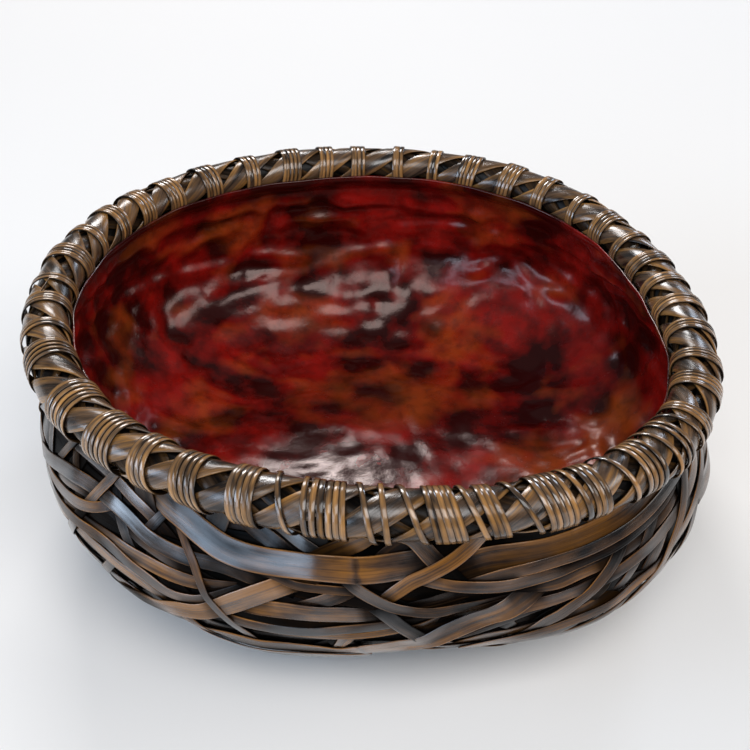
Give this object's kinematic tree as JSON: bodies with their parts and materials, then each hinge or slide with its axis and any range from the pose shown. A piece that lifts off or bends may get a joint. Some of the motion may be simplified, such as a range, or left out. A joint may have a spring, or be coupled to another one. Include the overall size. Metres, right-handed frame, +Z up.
{
  "type": "charcoal basket",
  "caption": "Low round basket of interlaced dark bamboo strips with a bound rim roll, lined with lacquered paper to hold charcoal.",
  "frame": {"origin": "under the middle of the basket, on the plane that its base splints stand on", "axes": "+Z up out of the basket's mouth, -Y towards the picture's front, +X to its right"},
  "size_m": [0.2631, 0.2654, 0.0986],
  "materials": {
    "bamboo_stake": "satin",
    "bamboo_band": "satin",
    "bamboo_wrap": "satin",
    "bamboo_lashing": "satin",
    "bamboo_hoop": "satin",
    "bamboo_splint": "satin",
    "lacquered_paper": "gloss"
  },
  "bodies": {
    "root": {"stake_right_lean_1": "bamboo_stake", "stake_right_lean_2": "bamboo_stake", "stake_right_lean_3": "bamboo_stake", "stake_right_lean_4": "bamboo_stake", "stake_right_lean_5": "bamboo_stake", "stake_right_lean_6": "bamboo_stake", "stake_left_lean_1": "bamboo_stake", "stake_left_lean_2": "bamboo_stake", "stake_left_lean_3": "bamboo_stake", "stake_left_lean_4": "bamboo_stake", "stake_left_lean_5": "bamboo_stake", "stake_left_lean_6": "bamboo_stake", "wall_band_1": "bamboo_band", "wall_band_2": "bamboo_band", "wall_band_3": "bamboo_band", "wall_band_4": "bamboo_band", "wall_band_5": "bamboo_band", "wall_band_6": "bamboo_band", "wall_band_7": "bamboo_band", "narrow_sweep_1": "bamboo_band", "narrow_sweep_2": "bamboo_band", "narrow_sweep_3": "bamboo_band", "rim_under_wrap_1": "bamboo_wrap", "rim_under_wrap_2": "bamboo_wrap", "rim_over_wrap_1": "bamboo_wrap", "rim_over_wrap_2": "bamboo_wrap", "rim_lashing_1": "bamboo_lashing", "rim_lashing_2": "bamboo_lashing", "rim_lashing_3": "bamboo_lashing", "rim_lashing_4": "bamboo_lashing", "rim_outer_hoop": "bamboo_hoop", "rim_inner_hoop": "bamboo_hoop", "base_splint_front": "bamboo_splint", "base_splint_middle": "bamboo_splint", "base_splint_back": "bamboo_splint", "paper_liner": "lacquered_paper"}
  },
  "joints": []
}
